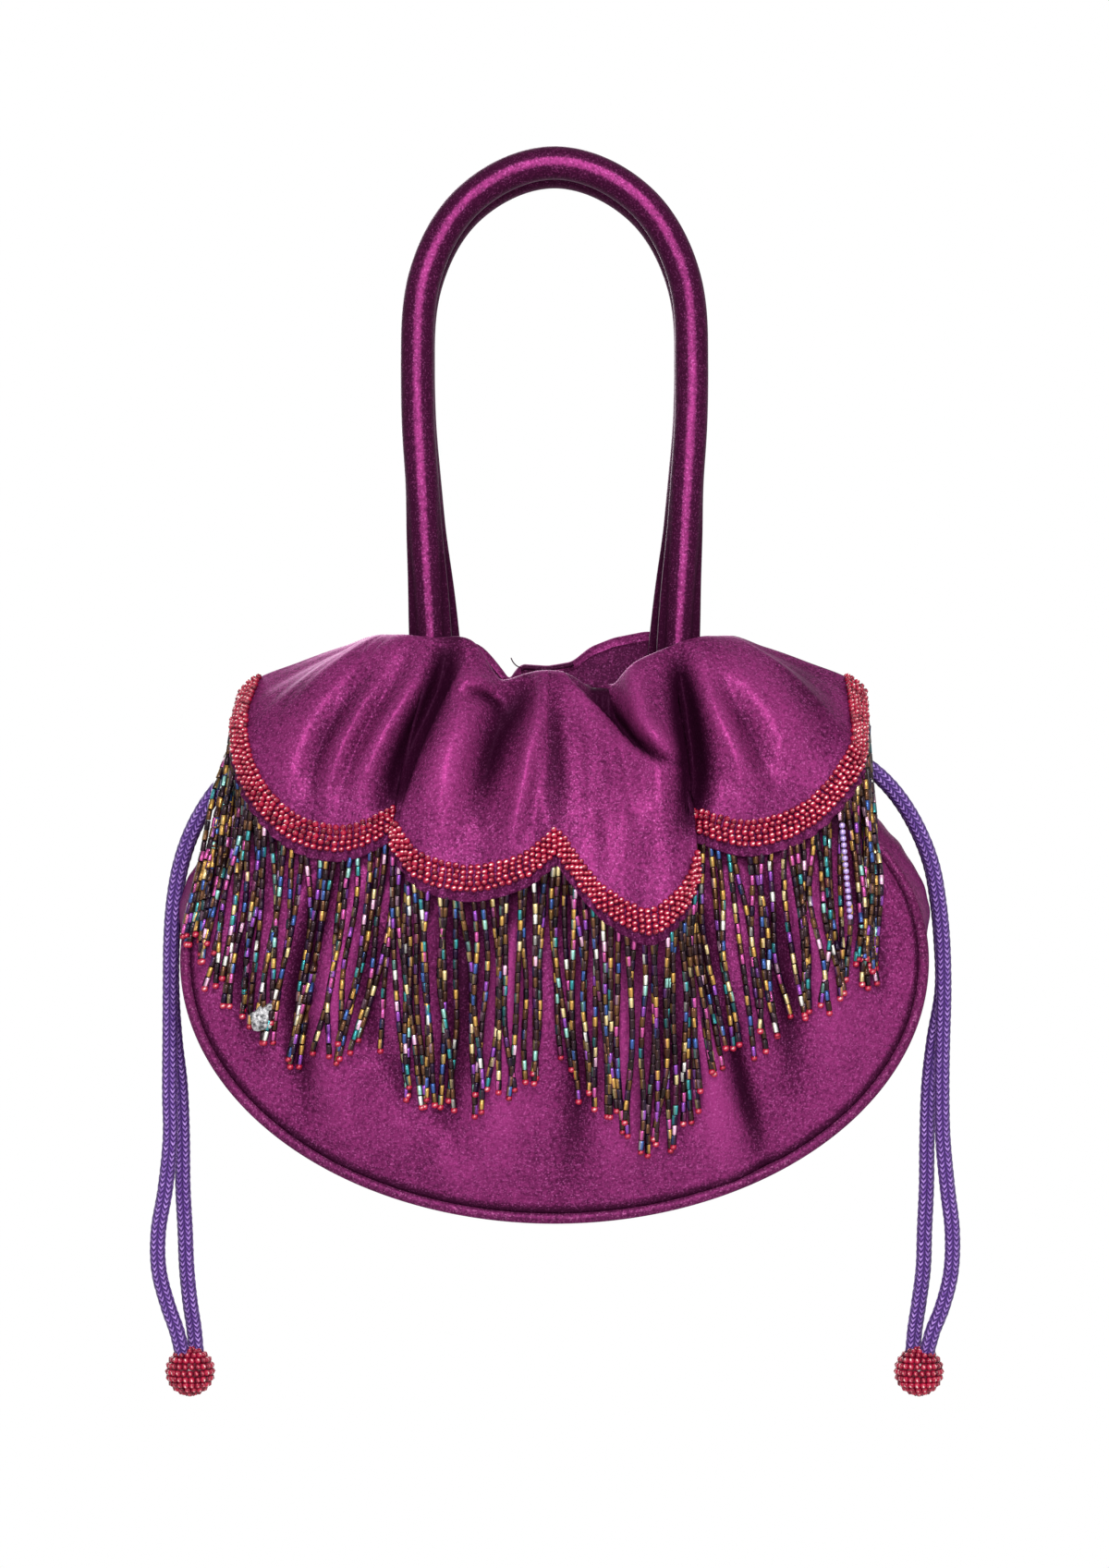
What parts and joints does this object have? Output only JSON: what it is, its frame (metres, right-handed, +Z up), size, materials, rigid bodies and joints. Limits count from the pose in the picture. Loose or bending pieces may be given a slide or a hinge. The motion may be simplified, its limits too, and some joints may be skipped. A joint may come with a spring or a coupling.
{
  "type": "drawstring barrel bag",
  "caption": "Gathered satin evening bag with an oval piped body, a beaded and fringed ruffle round the mouth, stuffed handles and drawstring cords that end in bead balls.",
  "frame": {"origin": "the point that carries the bag, just under the top of the two handles", "axes": "+Z up, +X to the right seen from the front, front of the bag towards -Y"},
  "size_m": [0.2545, 0.1324, 0.3926],
  "materials": {
    "satin": "magenta purple satin with a fine crinkle",
    "piping": "satin rolled over a cord",
    "facing": "the same satin, turned inside the mouth",
    "cord": "braided purple cord",
    "beads": "silver lined red seed beads",
    "fringe": "iridescent bugle beads"
  },
  "bodies": {
    "root": {"front_panel": "satin", "back_panel": "satin", "gusset": "satin", "front_piping": "piping", "back_piping": "piping", "front_neck_casing": "satin", "back_neck_casing": "satin", "left_drawstring": "cord", "right_drawstring": "cord", "front_ruffle": "satin", "back_ruffle": "satin", "front_mouth_facing": "facing", "back_mouth_facing": "facing", "front_left_wing_bead_band": "beads", "front_left_wing_fringe": "fringe", "front_left_bead_band": "beads", "front_left_fringe": "fringe", "front_right_bead_band": "beads", "front_right_fringe": "fringe", "front_right_wing_bead_band": "beads", "front_right_wing_fringe": "fringe", "back_left_wing_bead_band": "beads", "back_left_wing_fringe": "fringe", "back_left_bead_band": "beads", "back_left_fringe": "fringe", "back_right_bead_band": "beads", "back_right_fringe": "fringe", "back_right_wing_bead_band": "beads", "back_right_wing_fringe": "fringe", "front_handle": "satin", "back_handle": "satin", "left_cord_front": "cord", "left_cord_back": "cord", "right_cord_front": "cord", "right_cord_back": "cord", "left_bead_ball": "beads", "right_bead_ball": "beads"}
  },
  "joints": []
}
